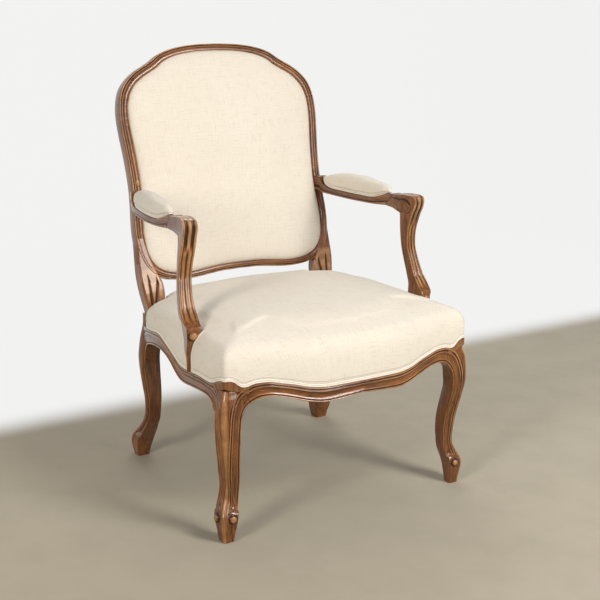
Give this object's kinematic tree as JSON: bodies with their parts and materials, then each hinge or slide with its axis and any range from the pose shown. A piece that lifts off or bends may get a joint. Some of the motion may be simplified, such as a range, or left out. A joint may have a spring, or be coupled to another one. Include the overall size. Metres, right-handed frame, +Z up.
{
  "type": "open-arm upholstered armchair",
  "caption": "Carved wooden armchair with cabriole legs, open padded arms, a flat cartouche back and an upholstered crowned seat.",
  "frame": {"origin": "on the floor, at the middle of the whole chair's outline seen from above", "axes": "+X to the sitter's left, +Y towards the back, +Z up; the chair faces -Y and mirrors across x = 0"},
  "size_m": [0.6124, 0.68, 0.9554],
  "materials": {
    "walnut": "walnut-stained beech, moulded and carved, under glossy lacquer, darker in the grooves and worn lighter on the edges",
    "beech": "plain planed beech, unfinished",
    "linen": "ecru slubbed linen weave, matte",
    "foam": "upholstery stuffing",
    "jute": "jute webbing and hessian",
    "cambric": "thin black dust cloth",
    "steel": "bright steel wood screws"
  },
  "bodies": {
    "root": {"left_front_leg": "walnut", "left_rear_upright": "walnut", "left_side_rail": "walnut", "left_arm_support": "walnut", "left_armrest": "walnut", "right_front_leg": "walnut", "right_rear_upright": "walnut", "right_side_rail": "walnut", "right_arm_support": "walnut", "right_armrest": "walnut", "front_rail": "walnut", "rear_rail": "walnut", "crest_rail": "walnut", "bottom_back_rail": "walnut", "left_front_block_screw_1": "steel", "left_front_block_screw_2": "steel", "left_front_corner_block": "beech", "left_rear_block_screw_1": "steel", "left_rear_block_screw_2": "steel", "left_rear_corner_block": "beech", "right_front_block_screw_1": "steel", "right_front_block_screw_2": "steel", "right_front_corner_block": "beech", "right_rear_block_screw_1": "steel", "right_rear_block_screw_2": "steel", "right_rear_corner_block": "beech", "left_arm_dowel": "beech", "left_support_screw": "steel", "left_arm_screw": "steel", "right_arm_dowel": "beech", "right_support_screw": "steel", "right_arm_screw": "steel", "seat_web_across_1": "jute", "seat_web_across_2": "jute", "seat_web_across_3": "jute", "seat_web_along_1": "jute", "seat_web_along_2": "jute", "seat_web_along_3": "jute", "seat_hessian": "jute", "seat_stuffing": "foam", "seat_cover": "linen", "seat_front_cord": "linen", "left_seat_side_cord": "linen", "right_seat_side_cord": "linen", "seat_rear_cord": "linen", "dust_cloth": "cambric", "back_web_across_1": "jute", "back_web_across_2": "jute", "back_web_upright_1": "jute", "back_web_upright_2": "jute", "back_stuffing": "foam", "back_cover": "linen", "back_cord": "linen", "outer_back_cover": "linen", "outer_back_cord": "linen", "left_arm_pad": "linen", "left_arm_cord": "linen", "right_arm_pad": "linen", "right_arm_cord": "linen"}
  },
  "joints": []
}
